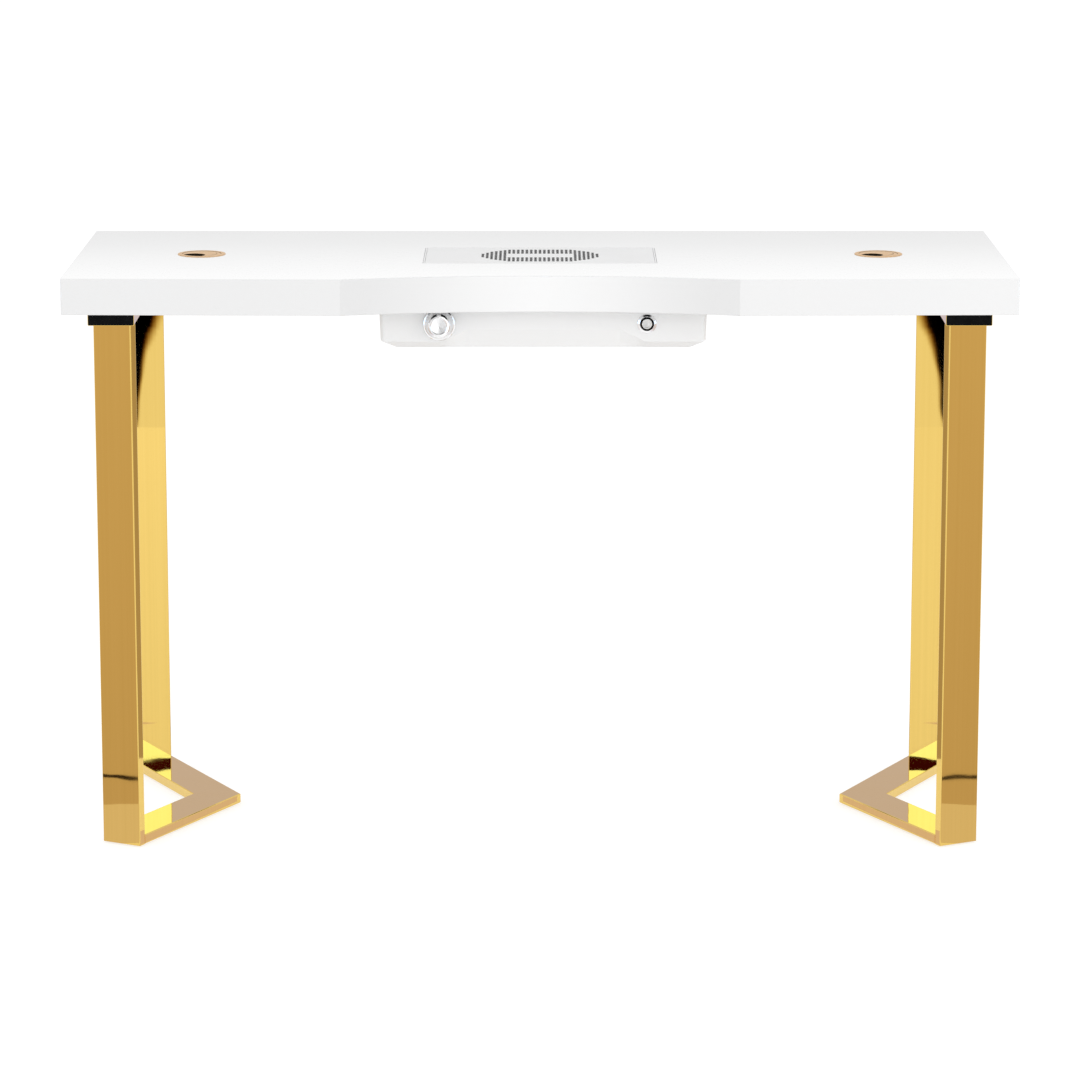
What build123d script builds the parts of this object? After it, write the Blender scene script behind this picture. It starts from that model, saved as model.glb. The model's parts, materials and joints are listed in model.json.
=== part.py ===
from build123d import *
import math
import os

os.makedirs("parts", exist_ok=True)

# Manicure table with a built-in dust collector. Millimetres, +Z up, +Y away
# from the client, origin at the centre of the footprint on the floor.

# ---------------------------------------------------------------- dimensions
# table top
TOP_W = 1200.0          # overall width
TOP_T = 46.0            # thickness
Z_TOP = 740.0           # work surface
Z_UND = Z_TOP - TOP_T   # underside
Y_FRONT = -226.5        # front outer corners
Y_BACK = 233.5          # back edge
Y_CORNER = -233.5       # corners of the front arc
Y_ARC = -200.5          # deepest point of the front arc
ARC_HALF = 250.0        # half width of the front arc

# side frames (flat tube, mirror polished)
LEG_W = 56.0            # width of the legs and arms
LEG_T = 12.5            # their thickness
WALL = 1.5              # tube wall
R_TUBE = 1.3            # outer corner radius of the tube
ARM_ANGLE = 27.9        # plan angle of the arms from the Y axis
BX, BY = 514.6, -212.5  # inner front corner of the front leg in plan
Y_MID = 4.5             # symmetry plane of a frame
GLIDE_H = 2.0           # height of the glides
Z_ARM = GLIDE_H + LEG_T
BAR_X0, BAR_X1 = 509.3, 567.6
BAR_Y0, BAR_Y1 = -216.5, 225.5
BAR_H = 15.0
Z_BAR = Z_UND - BAR_H
PLUG_D = 14.0
PLUG_HEAD = 1.2
SCREW_Y = (-150.0, 4.5, 159.0)
BAR_XC = (BAR_X0 + BAR_X1) / 2

# cable grommets
GR_X, GR_Y = 440.0, 1.5
GR_HOLE = 54.0
GR_FLANGE = 62.0
GR_RISE = 0.8
GR_BORE = 50.6
CAP_D = 50.0
SLOT_W = 28.0
SLOT_ANGLE = 236.0

# dust collector, top side
PY = -12.5              # centre of the panel in Y
FR_W, FR_D = 300.0, 150.0
GP_W, GP_D = 295.0, 145.0
GP_T = 2.0
CUT_W, CUT_D = 280.0, 130.0
DUCT_W, DUCT_D = 279.4, 129.4
DUCT_WALL = 3.0
FILTER_W, FILTER_D, FILTER_H = 272.0, 122.0, 20.0
HOLE_D = 4.2
COL_PITCH, ROW_PITCH = 5.7, 4.9
COL_HEIGHTS = (37, 54, 72, 84, 94, 100) + (112,) * 15 + (100, 94, 84, 72, 54, 37)
BLANK_W, BLANK_H = 84.0, 34.0

# dust collector, housing under the top
CX = 4.0                # the housing sits this far right of centre
HS_W, HS_Y0, HS_Y1 = 417.0, -146.5, 123.5
FLANGE_T, FLANGE_OUT = 2.5, 6.5
Z_HS = 639.0            # housing bottom
HS_WALL = 2.5
Z_FLOOR = Z_HS + HS_WALL
SIDE_CH = (20.0, 10.0)  # side bevel, width and height
FRONT_CH = (12.0, 9.0)  # front bevel, depth and height
MID_CH_H = 24.0         # height of the deeper bevel in the middle
Z_DECK = 686.0          # fan deck underside
KNOB_X, KNOB_Z = CX - 132.0, 670.6
BTN_X, BTN_Z = CX + 132.0, 671.0
SOCK_X, SOCK_Z = -170.0, 674.0

# fan
FAN_D = 140.0
CAN_D = 46.0


def save(builder, name):
    builder.part.label = name
    export_step(builder.part, "parts/" + name + ".step")


HY = (HS_Y0 + HS_Y1) / 2
HS_D = HS_Y1 - HS_Y0

# ---------------------------------------------------------------- table top
housing_screw_pts = [(CX + s * (HS_W / 2 + 3.4), y) for s in (-1, 1) for y in (-110.0, -11.5, 87.0)]
housing_screw_pts += [(CX - 110.0, HS_Y1 + 3.4), (CX + 110.0, HS_Y1 + 3.4)]
frame_screw_pts = [(s * BAR_XC, y) for s in (-1, 1) for y in SCREW_Y]

with BuildPart() as tabletop:
    with BuildSketch(Plane.XY.offset(Z_UND)):
        with BuildLine():
            Polyline(
                (-ARC_HALF, Y_CORNER),
                (-TOP_W / 2, Y_FRONT),
                (-TOP_W / 2, Y_BACK),
                (TOP_W / 2, Y_BACK),
                (TOP_W / 2, Y_FRONT),
                (ARC_HALF, Y_CORNER),
            )
            ThreePointArc((ARC_HALF, Y_CORNER), (0, Y_ARC), (-ARC_HALF, Y_CORNER))
        make_face()
    extrude(amount=TOP_T)
    outer = tabletop.edges().filter_by(Axis.Z).filter_by(lambda e: abs(e.center().X) > 500)
    fillet(outer, 1.5)
    fillet(tabletop.edges().group_by(Axis.Z)[-1], 0.9)
    fillet(tabletop.edges().group_by(Axis.Z)[0], 0.9)
    with BuildSketch(Plane.XY.offset(Z_TOP)):
        with Locations((0, PY)):
            RectangleRounded(FR_W + 0.6, FR_D + 0.6, 2.3)
    extrude(amount=-3.0, mode=Mode.SUBTRACT)
    with BuildSketch(Plane.XY.offset(Z_TOP)):
        with Locations((0, PY)):
            RectangleRounded(CUT_W, CUT_D, 4.0)
    extrude(amount=-TOP_T, mode=Mode.SUBTRACT)
    with BuildSketch(Plane.XY.offset(Z_TOP)):
        with Locations((-GR_X, GR_Y), (GR_X, GR_Y)):
            Circle(GR_HOLE / 2)
    extrude(amount=-TOP_T, mode=Mode.SUBTRACT)
    with BuildSketch(Plane.XY.offset(Z_UND)):
        with Locations(*frame_screw_pts):
            Circle(5.0)
    extrude(amount=20.0, mode=Mode.SUBTRACT)
    with BuildSketch(Plane.XY.offset(Z_UND)):
        with Locations(*housing_screw_pts):
            Circle(1.5)
    extrude(amount=17.0, mode=Mode.SUBTRACT)
save(tabletop, "tabletop")

# ---------------------------------------------------------------- right frame
a = math.radians(ARM_ANGLE)
ca, sa = math.cos(a), math.sin(a)


def frame_plane(z):
    # x runs outward along the leg's wide face, y runs back along the arm
    return Plane(origin=(BX, BY, z), x_dir=(ca, sa, 0), z_dir=(0, 0, 1))


with BuildPart() as right_front_leg:
    with BuildSketch(frame_plane(GLIDE_H)):
        with Locations((LEG_W / 2, LEG_T / 2)):
            RectangleRounded(LEG_W, LEG_T, R_TUBE)
    extrude(amount=Z_BAR - GLIDE_H)
    with BuildSketch(frame_plane(GLIDE_H + WALL)):
        with Locations((LEG_W / 2, LEG_T / 2)):
            Rectangle(LEG_W - 2 * WALL, LEG_T - 2 * WALL)
    extrude(amount=Z_BAR - GLIDE_H - WALL, mode=Mode.SUBTRACT)
save(right_front_leg, "right_front_leg")

ARM_L = 300.0
with BuildPart() as right_front_arm:
    with BuildSketch(Plane(origin=(BX - sa * LEG_T, BY + ca * LEG_T, 0), x_dir=(ca, sa, 0), z_dir=(-sa, ca, 0))):
        # section plane: x outward, y is down or up along Z
        with Locations((LEG_W / 2, -(GLIDE_H + LEG_T / 2))):
            RectangleRounded(LEG_W, LEG_T, R_TUBE)
            Rectangle(LEG_W - 2 * WALL, LEG_T - 2 * WALL, mode=Mode.SUBTRACT)
    extrude(amount=ARM_L)
    split(bisect_by=Plane(origin=(0, Y_MID, 0), z_dir=(0, 1, 0)), keep=Keep.BOTTOM)
    with BuildSketch(frame_plane(GLIDE_H)):
        with Locations((44.0, 24.0)):
            Circle(3.0)
    extrude(amount=WALL + 0.5, mode=Mode.SUBTRACT)
    with BuildSketch(Plane.XY.offset(GLIDE_H)):
        with Locations((438.0, -8.0)):
            Circle(3.0)
    extrude(amount=WALL + 0.5, mode=Mode.SUBTRACT)
save(right_front_arm, "right_front_arm")

MID = Plane(origin=(0, Y_MID, 0), z_dir=(0, 1, 0))
with BuildPart() as right_rear_leg:
    mirror(right_front_leg.part, about=MID)
save(right_rear_leg, "right_rear_leg")
with BuildPart() as right_rear_arm:
    mirror(right_front_arm.part, about=MID)
save(right_rear_arm, "right_rear_arm")

with BuildPart() as right_top_bar:
    with BuildSketch(Plane.XZ.offset(-BAR_Y0)):
        with Locations((BAR_XC, Z_BAR + BAR_H / 2)):
            RectangleRounded(BAR_X1 - BAR_X0, BAR_H, 1.6)
            Rectangle(BAR_X1 - BAR_X0 - 2 * WALL, BAR_H - 2 * WALL, mode=Mode.SUBTRACT)
    extrude(amount=-(BAR_Y1 - BAR_Y0))
    with BuildSketch(Plane.XY.offset(Z_BAR)):
        with Locations(*[(BAR_XC, y) for y in SCREW_Y]):
            Circle(7.0)
    extrude(amount=WALL + 1, mode=Mode.SUBTRACT)
    with BuildSketch(Plane.XY.offset(Z_UND)):
        with Locations(*[(BAR_XC, y) for y in SCREW_Y]):
            Circle(3.3)
    extrude(amount=-(WALL + 1), mode=Mode.SUBTRACT)
save(right_top_bar, "right_top_bar")

with BuildPart() as right_bar_plugs:
    with BuildSketch(Plane.XZ.offset(-BAR_Y0)):
        with Locations((BAR_XC, Z_BAR + BAR_H / 2)):
            Rectangle(BAR_X1 - BAR_X0 - 2 * WALL, BAR_H - 2 * WALL)
    extrude(amount=-PLUG_D)
    with BuildSketch(Plane.XZ.offset(-(BAR_Y0 + 2.5))):
        with Locations((BAR_XC, Z_BAR + BAR_H / 2)):
            Rectangle(BAR_X1 - BAR_X0 - 2 * WALL - 4, BAR_H - 2 * WALL - 4)
    extrude(amount=-(PLUG_D - 2.5), mode=Mode.SUBTRACT)
    with BuildSketch(Plane.XZ.offset(-BAR_Y0)):
        with Locations((BAR_XC, Z_BAR + BAR_H / 2)):
            RectangleRounded(BAR_X1 - BAR_X0 - 1.2, BAR_H - 1.2, 1.2)
    extrude(amount=PLUG_HEAD)
    mirror(about=MID)
save(right_bar_plugs, "right_bar_plugs")

with BuildPart() as right_glides:
    with BuildSketch(frame_plane(0)):
        with Locations((44.0, 24.0)):
            Circle(9.0)
    extrude(amount=GLIDE_H)
    with BuildSketch(frame_plane(0)):
        with Locations((44.0, 24.0)):
            Circle(3.0)
    extrude(amount=8.0)
    with BuildSketch(Plane.XY):
        with Locations((438.0, -8.0)):
            Circle(9.0)
    extrude(amount=GLIDE_H)
    with BuildSketch(Plane.XY):
        with Locations((438.0, -8.0)):
            Circle(3.0)
    extrude(amount=8.0)
    chamfer(right_glides.edges().group_by(Axis.Z)[0], 0.5)
    mirror(about=MID)
save(right_glides, "right_glides")

# ---------------------------------------------------------------- left frame
for src, name in (
    (right_front_leg, "left_front_leg"),
    (right_rear_leg, "left_rear_leg"),
    (right_front_arm, "left_front_arm"),
    (right_rear_arm, "left_rear_arm"),
    (right_top_bar, "left_top_bar"),
    (right_bar_plugs, "left_bar_plugs"),
    (right_glides, "left_glides"),
):
    with BuildPart() as left_piece:
        mirror(src.part, about=Plane.YZ)
    save(left_piece, name)

# ---------------------------------------------------------------- fasteners of the frames
with BuildPart() as frame_inserts:
    with BuildSketch(Plane.XY.offset(Z_UND)):
        with Locations(*frame_screw_pts):
            Circle(5.0)
            Circle(3.05, mode=Mode.SUBTRACT)
    extrude(amount=15.0)
save(frame_inserts, "frame_inserts")

Z_HEAD = Z_UND - WALL
with BuildPart() as frame_screws:
    with BuildSketch(Plane.XY.offset(Z_HEAD)):
        with Locations(*frame_screw_pts):
            Circle(6.0)
    extrude(amount=-3.5)
    fillet(frame_screws.edges().group_by(Axis.Z)[0], 1.0)
    with BuildSketch(Plane.XY.offset(Z_HEAD - 3.5)):
        with Locations(*frame_screw_pts):
            RegularPolygon(2.3, 6)
    extrude(amount=2.0, mode=Mode.SUBTRACT)
    with BuildSketch(Plane.XY.offset(Z_HEAD)):
        with Locations(*frame_screw_pts):
            Circle(3.0)
    extrude(amount=19.0)
save(frame_screws, "frame_screws")

# ---------------------------------------------------------------- cable grommets
for gx, side in ((-GR_X, "left"), (GR_X, "right")):
    with BuildPart() as grommet_sleeve:
        with BuildSketch(Plane.XY.offset(Z_TOP)):
            with Locations((gx, GR_Y)):
                Circle(GR_FLANGE / 2)
        extrude(amount=GR_RISE)
        fillet(grommet_sleeve.edges().group_by(Axis.Z)[-1], 0.5)
        with BuildSketch(Plane.XY.offset(Z_TOP)):
            with Locations((gx, GR_Y)):
                Circle(GR_HOLE / 2 - 0.1)
        extrude(amount=-24.0)
        with BuildSketch(Plane.XY.offset(Z_TOP + GR_RISE)):
            with Locations((gx, GR_Y)):
                Circle(GR_BORE / 2)
        extrude(amount=-2.6, mode=Mode.SUBTRACT)
        with BuildSketch(Plane.XY.offset(Z_TOP + GR_RISE)):
            with Locations((gx, GR_Y)):
                Circle(GR_BORE / 2 - 1.6)
        extrude(amount=-4.6, mode=Mode.SUBTRACT)
        with BuildSketch(Plane.XY.offset(Z_TOP + GR_RISE - 4.6)):
            with Locations((gx, GR_Y)):
                Circle(GR_BORE / 2)
        extrude(amount=-30.0, mode=Mode.SUBTRACT)
    save(grommet_sleeve, side + "_grommet_sleeve")

    with BuildPart() as grommet_cap:
        zc = Z_TOP + GR_RISE - 2.6 + 0.1
        with BuildSketch(Plane.XY.offset(zc)):
            with Locations((gx, GR_Y)):
                Circle(CAP_D / 2)
        extrude(amount=2.3)
        fillet(grommet_cap.edges().group_by(Axis.Z)[-1], 0.5)
        with BuildSketch(Plane.XY.offset(zc)):
            with Locations((gx, GR_Y)):
                Circle(GR_BORE / 2 - 2.0)
                Circle(GR_BORE / 2 - 3.6, mode=Mode.SUBTRACT)
        extrude(amount=-5.0)
        slot_plane = Plane(
            origin=(gx, GR_Y, zc + 5),
            x_dir=(math.cos(math.radians(SLOT_ANGLE)), math.sin(math.radians(SLOT_ANGLE)), 0),
            z_dir=(0, 0, 1),
        )
        with BuildSketch(slot_plane):
            with Locations((15.5, 0)):
                Circle(SLOT_W / 2)
            with Locations((25.5, 0)):
                Rectangle(20.0, SLOT_W)
        extrude(amount=-12.0, mode=Mode.SUBTRACT)
        # crescent groove beside the slot, the edge of the finger step
        with BuildSketch(Plane.XY.offset(zc + 2.3)):
            with BuildLine():
                CenterArc((gx, GR_Y), 19.6, SLOT_ANGLE + 48, 96)
            trace(line_width=0.8)
        extrude(amount=-0.5, mode=Mode.SUBTRACT)
    save(grommet_cap, side + "_grommet_cap")

# ---------------------------------------------------------------- collector, above the deck
with BuildPart() as collector_frame:
    with BuildSketch(Plane.XY.offset(Z_TOP - 3.0)):
        with Locations((0, PY)):
            RectangleRounded(FR_W, FR_D, 2.0)
    extrude(amount=3.0)
    fillet(collector_frame.edges().group_by(Axis.Z)[-1], 0.4)
    with BuildSketch(Plane.XY.offset(Z_UND)):
        with Locations((0, PY)):
            RectangleRounded(DUCT_W, DUCT_D, 3.7)
    extrude(amount=TOP_T - 3.0)
    with BuildSketch(Plane.XY.offset(Z_TOP)):
        with Locations((0, PY)):
            RectangleRounded(GP_W + 0.7, GP_D + 0.7, 1.6)
    extrude(amount=-GP_T, mode=Mode.SUBTRACT)
    with BuildSketch(Plane.XY.offset(Z_TOP)):
        with Locations((0, PY)):
            RectangleRounded(DUCT_W - 2 * DUCT_WALL, DUCT_D - 2 * DUCT_WALL, 1.0)
    extrude(amount=-(Z_TOP - 708.0), mode=Mode.SUBTRACT)
    with BuildSketch(Plane.XY.offset(708.0)):
        with Locations((0, PY)):
            RectangleRounded(258.0, 108.0, 1.0)
    extrude(amount=-2.0, mode=Mode.SUBTRACT)
    with BuildSketch(Plane.XY.offset(706.0)):
        with Locations((0, PY)):
            RectangleRounded(DUCT_W - 2 * DUCT_WALL, DUCT_D - 2 * DUCT_WALL, 1.0)
    extrude(amount=-(706.0 - Z_UND), mode=Mode.SUBTRACT)
save(collector_frame, "collector_frame")

hole_pts = []
ncol = len(COL_HEIGHTS)
for i, h in enumerate(COL_HEIGHTS):
    hx = (i - (ncol - 1) / 2) * COL_PITCH
    for j in range(-12, 13):
        hy = j * ROW_PITCH
        if abs(hy) > h / 2:
            continue
        if abs(hx) < BLANK_W / 2 and abs(hy) < BLANK_H / 2:
            continue
        hole_pts.append((hx, PY + hy))

with BuildPart() as grille_plate:
    with BuildSketch(Plane.XY.offset(Z_TOP - GP_T)):
        with Locations((0, PY)):
            RectangleRounded(GP_W, GP_D, 1.3)
        with Locations(*hole_pts):
            Circle(HOLE_D / 2, mode=Mode.SUBTRACT)
    extrude(amount=GP_T)
save(grille_plate, "grille_plate")

ZF = 708.0
with BuildPart() as filter_frame:
    with BuildSketch(Plane.XY.offset(ZF)):
        with Locations((0, PY)):
            RectangleRounded(FILTER_W, FILTER_D, 1.0)
            Rectangle(FILTER_W - 16, FILTER_D - 16, mode=Mode.SUBTRACT)
    extrude(amount=FILTER_H)
    with BuildSketch(Plane.XY.offset(ZF + 2)):
        with Locations((0, PY)):
            Rectangle(FILTER_W - 4, FILTER_D - 4)
            Rectangle(FILTER_W - 16, FILTER_D - 16, mode=Mode.SUBTRACT)
    extrude(amount=FILTER_H - 2, mode=Mode.SUBTRACT)
    # pull strap bridges at the two ends
    with BuildSketch(Plane.XY.offset(ZF + 2)):
        with Locations((-(FILTER_W / 2 - 5), PY), (FILTER_W / 2 - 5, PY)):
            Rectangle(6.0, 24.0)
    extrude(amount=FILTER_H - 2)
save(filter_frame, "filter_frame")

MED_W, MED_D = FILTER_W - 16.8, FILTER_D - 16.8
pleats = 26
pw = MED_W / pleats
zig_up, zig_dn = [], []
for i in range(pleats + 1):
    px = -MED_W / 2 + i * pw
    zig_up.append((px, ZF + 17.5))
    if i < pleats:
        zig_up.append((px + pw / 2, ZF + 4.0))
zig_dn = [(x, z - 2.2) for x, z in reversed(zig_up)]
with BuildPart() as filter_media:
    with BuildSketch(Plane.XZ.offset(-(PY - MED_D / 2))):
        with BuildLine():
            Polyline(*(zig_up + zig_dn + [zig_up[0]]))
        make_face()
    extrude(amount=-MED_D)
save(filter_media, "filter_media")

with BuildPart() as duct_seal:
    with BuildSketch(Plane.XY.offset(Z_DECK + 2.0)):
        with Locations((0, PY)):
            RectangleRounded(DUCT_W, DUCT_D, 3.7)
            RectangleRounded(DUCT_W - 16, DUCT_D - 16, 2.0, mode=Mode.SUBTRACT)
    extrude(amount=Z_UND - Z_DECK - 2.0)
save(duct_seal, "duct_seal")

# ---------------------------------------------------------------- collector housing
post_pts = [(sx * 148.0, PY + sy * 70.0) for sx in (-1, 1) for sy in (-1, 1)]
board_pts = [(-173.0, 78.0), (-173.0, 108.0), (-96.0, 78.0), (-96.0, 108.0)]
motor_pts = [(24.0 * math.cos(math.radians(t)), PY + 24.0 * math.sin(math.radians(t))) for t in (90, 210, 330)]


def inward(p, q, up, d):
    # the segment p-q moved by d along its normal, towards the point up
    n = Vector(q[1] - p[1], p[0] - q[0]).normalized()
    if n.dot(Vector(*up) - Vector(*p)) < 0:
        n = n * -1
    return [(t[0] + n.X * d, t[1] + n.Y * d) for t in (p, q)]


# the housing's outer body and, one wall thickness further in, its cavity
bodies = []
for w in (0.0, HS_WALL):
    with BuildPart() as housing_blank:
        with BuildSketch(Plane.XY.offset(Z_UND - FLANGE_T + (1.0 if w else 0.0))):
            with Locations((CX, HY)):
                RectangleRounded(HS_W - 2 * w, HS_D - 2 * w, 7.0 - w)
        with BuildSketch(Plane.XY.offset(Z_HS + w)):
            with Locations((CX, HY)):
                RectangleRounded(HS_W - 4.0 - 2 * w, HS_D - 2 * w, 7.0 - w)
        loft(ruled=True)
        # bevels along the two sides
        for s in (-1, 1):
            xe = CX + s * (HS_W / 2 - 2.0)
            mid = (CX, Z_UND)
            p, q = inward((xe + s * 6, Z_HS + SIDE_CH[1] * 1.3), (xe - s * SIDE_CH[0] * 1.3, Z_HS - SIDE_CH[1] * 0.3), mid, w)
            with BuildSketch(Plane.XZ.offset(-(HS_Y0 - 5))):
                with BuildLine():
                    Polyline(p, q, (xe + s * 12, q[1] - 2), p)
                make_face()
            extrude(amount=-(HS_D + 10), mode=Mode.SUBTRACT)
        # bevels along the front and the back
        for s, ye in ((1, HS_Y0), (-1, HS_Y1)):
            mid = (HY, Z_UND)
            fd, fh = FRONT_CH
            p, q = inward((ye - s * fd * 0.4, Z_HS + fh * 1.4), (ye + s * fd * 1.4, Z_HS - fh * 0.4), mid, w)
            with BuildSketch(Plane.YZ.offset(CX - HS_W / 2 - 5)):
                with BuildLine():
                    Polyline(p, q, (ye - s * 12, q[1] - 2), p)
                make_face()
            extrude(amount=HS_W + 10, mode=Mode.SUBTRACT)
        # deeper bevel in the middle of the front, running out at both ends
        for x, hgt in ((-130.0, FRONT_CH[1]), (-98.0, MID_CH_H), (98.0, MID_CH_H), (130.0, FRONT_CH[1])):
            fd = FRONT_CH[0] + 1.5
            p, q = inward((HS_Y0, Z_HS + hgt), (HS_Y0 + fd, Z_HS), (HY, Z_UND), w)
            dy, dz = q[0] - p[0], q[1] - p[1]
            p2 = (p[0] - 0.4 * dy, p[1] - 0.4 * dz)
            q2 = (q[0] + 0.4 * dy, q[1] + 0.4 * dz)
            with BuildSketch(Plane.YZ.offset(CX + x)):
                with BuildLine():
                    Polyline(p2, q2, (HS_Y0 - 14, Z_HS - 14), p2)
                make_face()
        loft(ruled=True, mode=Mode.SUBTRACT)
    bodies.append(housing_blank.part)

with BuildPart() as collector_housing:
    add(bodies[0])
    add(bodies[1], mode=Mode.SUBTRACT)
    # flange against the underside of the top
    with BuildSketch(Plane.XY.offset(Z_UND - FLANGE_T)):
        with Locations((CX, HY)):
            RectangleRounded(HS_W + 2 * FLANGE_OUT, HS_D + 2 * FLANGE_OUT, 9.0)
            RectangleRounded(HS_W - 2 * HS_WALL, HS_D - 2 * HS_WALL, 4.5, mode=Mode.SUBTRACT)
    extrude(amount=FLANGE_T)
    with BuildSketch(Plane.XY.offset(Z_UND)):
        with Locations(*housing_screw_pts):
            Circle(1.8)
    extrude(amount=-FLANGE_T, mode=Mode.SUBTRACT)
    # posts for the fan deck, bosses for the motor
    with BuildSketch(Plane.XY.offset(Z_FLOOR - 0.5)):
        with Locations(*post_pts):
            Circle(4.5)
    extrude(amount=Z_DECK - Z_FLOOR + 0.5)
    with BuildSketch(Plane.XY.offset(Z_DECK)):
        with Locations(*post_pts):
            Circle(1.4)
    extrude(amount=-12.0, mode=Mode.SUBTRACT)
    with BuildSketch(Plane.XY.offset(Z_FLOOR - 0.5)):
        with Locations(*motor_pts):
            Circle(4.0)
    extrude(amount=4.5)
    with BuildSketch(Plane.XY.offset(Z_FLOOR + 4.0)):
        with Locations(*motor_pts):
            Circle(1.4)
    extrude(amount=-4.0, mode=Mode.SUBTRACT)
    # exhaust slots in the back wall
    with BuildSketch(Plane.XZ.offset(-(HS_Y1 - 12))):
        with Locations((CX + 36.0, 671.0)):
            with GridLocations(9.0, 1, 29, 1):
                SlotOverall(26.0, 3.6, rotation=90)
    extrude(amount=-20.0, mode=Mode.SUBTRACT)
    # holes for the controls and the power inlet
    with BuildSketch(Plane.XZ.offset(-(HS_Y0 - 3))):
        with Locations((KNOB_X, KNOB_Z)):
            Circle(3.6)
        with Locations((BTN_X, BTN_Z)):
            Circle(9.6)
    extrude(amount=-14.0, mode=Mode.SUBTRACT)
    with BuildSketch(Plane.XZ.offset(-(HS_Y1 - 8))):
        with Locations((SOCK_X, SOCK_Z)):
            Circle(5.6)
    extrude(amount=-14.0, mode=Mode.SUBTRACT)
save(collector_housing, "collector_housing")

with BuildPart() as housing_screws:
    with BuildSketch(Plane.XY.offset(Z_UND - FLANGE_T)):
        with Locations(*housing_screw_pts):
            Circle(2.8)
    extrude(amount=-2.0)
    fillet(housing_screws.edges().group_by(Axis.Z)[0], 0.8)
    with BuildSketch(Plane.XY.offset(Z_UND - FLANGE_T)):
        with Locations(*housing_screw_pts):
            Circle(1.5)
    extrude(amount=18.0)
save(housing_screws, "housing_screws")

# ---------------------------------------------------------------- fan deck
with BuildPart() as fan_deck:
    with BuildSketch(Plane.XY.offset(Z_DECK)):
        with Locations((0, PY)):
            RectangleRounded(312.0, 156.0, 5.0)
            Circle(43.0, mode=Mode.SUBTRACT)
        with Locations(*post_pts):
            Circle(1.7, mode=Mode.SUBTRACT)
    extrude(amount=2.0)
    with BuildSketch(Plane.XY.offset(Z_DECK)):
        with Locations((0, PY)):
            Circle(44.5)
            Circle(43.0, mode=Mode.SUBTRACT)
    extrude(amount=-7.0)
save(fan_deck, "fan_deck")

with BuildPart() as deck_screws:
    with BuildSketch(Plane.XY.offset(Z_DECK + 2.0)):
        with Locations(*post_pts):
            Circle(2.8)
    extrude(amount=2.0)
    fillet(deck_screws.edges().group_by(Axis.Z)[-1], 0.8)
    with BuildSketch(Plane.XY.offset(Z_DECK + 2.0)):
        with Locations(*post_pts):
            Circle(1.4)
    extrude(amount=-12.0)
save(deck_screws, "deck_screws")

# ---------------------------------------------------------------- fan and motor
ZM = Z_FLOOR + 4.0      # motor base underside
with BuildPart() as motor_base:
    with BuildSketch(Plane.XY.offset(ZM)):
        with Locations((0, PY)):
            Circle(31.0)
            Circle(4.0, mode=Mode.SUBTRACT)
        with Locations(*motor_pts):
            Circle(1.7, mode=Mode.SUBTRACT)
    extrude(amount=2.0)
    with BuildSketch(Plane.XY.offset(ZM + 2.0)):
        with Locations((0, PY)):
            Circle(8.5)
            Circle(6.5, mode=Mode.SUBTRACT)
    extrude(amount=19.5)
save(motor_base, "motor_base")

with BuildPart() as motor_screws:
    with BuildSketch(Plane.XY.offset(ZM + 2.0)):
        with Locations(*motor_pts):
            Circle(2.4)
    extrude(amount=1.2)
    with BuildSketch(Plane.XY.offset(ZM + 2.0)):
        with Locations(*motor_pts):
            Circle(1.4)
    extrude(amount=-5.5)
save(motor_screws, "motor_screws")

with BuildPart() as motor_bearings:
    with BuildSketch(Plane.XY.offset(ZM + 3.5)):
        with Locations((0, PY)):
            Circle(6.5)
            Circle(2.55, mode=Mode.SUBTRACT)
    extrude(amount=4.0)
    with BuildSketch(Plane.XY.offset(ZM + 16.5)):
        with Locations((0, PY)):
            Circle(6.5)
            Circle(2.55, mode=Mode.SUBTRACT)
    extrude(amount=4.0)
save(motor_bearings, "motor_bearings")

with BuildPart() as motor_stator:
    with BuildSketch(Plane.XY.offset(ZM + 6.0)):
        with Locations((0, PY)):
            Circle(11.5)
        with Locations((0, PY)):
            with PolarLocations(13.5, 9):
                Rectangle(7.0, 3.0)
            with PolarLocations(17.6, 9):
                Rectangle(2.2, 9.0)
        with Locations((0, PY)):
            Circle(8.5, mode=Mode.SUBTRACT)
    extrude(amount=10.0)
save(motor_stator, "motor_stator")

with BuildPart() as motor_shaft:
    with BuildSketch(Plane.XY.offset(ZM + 3.5)):
        with Locations((0, PY)):
            Circle(2.5)
    extrude(amount=21.5)
save(motor_shaft, "motor_shaft")

with BuildPart() as motor_rotor:
    with BuildSketch(Plane.XY.offset(ZM + 5.0)):
        with Locations((0, PY)):
            Circle(CAN_D / 2)
    extrude(amount=19.5)
    fillet(motor_rotor.edges().group_by(Axis.Z)[-1], 2.0)
    with BuildSketch(Plane.XY.offset(ZM + 5.0)):
        with Locations((0, PY)):
            Circle(CAN_D / 2 - 2.5)
    extrude(amount=17.0, mode=Mode.SUBTRACT)
    with BuildSketch(Plane.XY.offset(ZM + 5.0)):
        with Locations((0, PY)):
            Circle(2.5)
    extrude(amount=25.0, mode=Mode.SUBTRACT)
save(motor_rotor, "motor_rotor")

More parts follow.
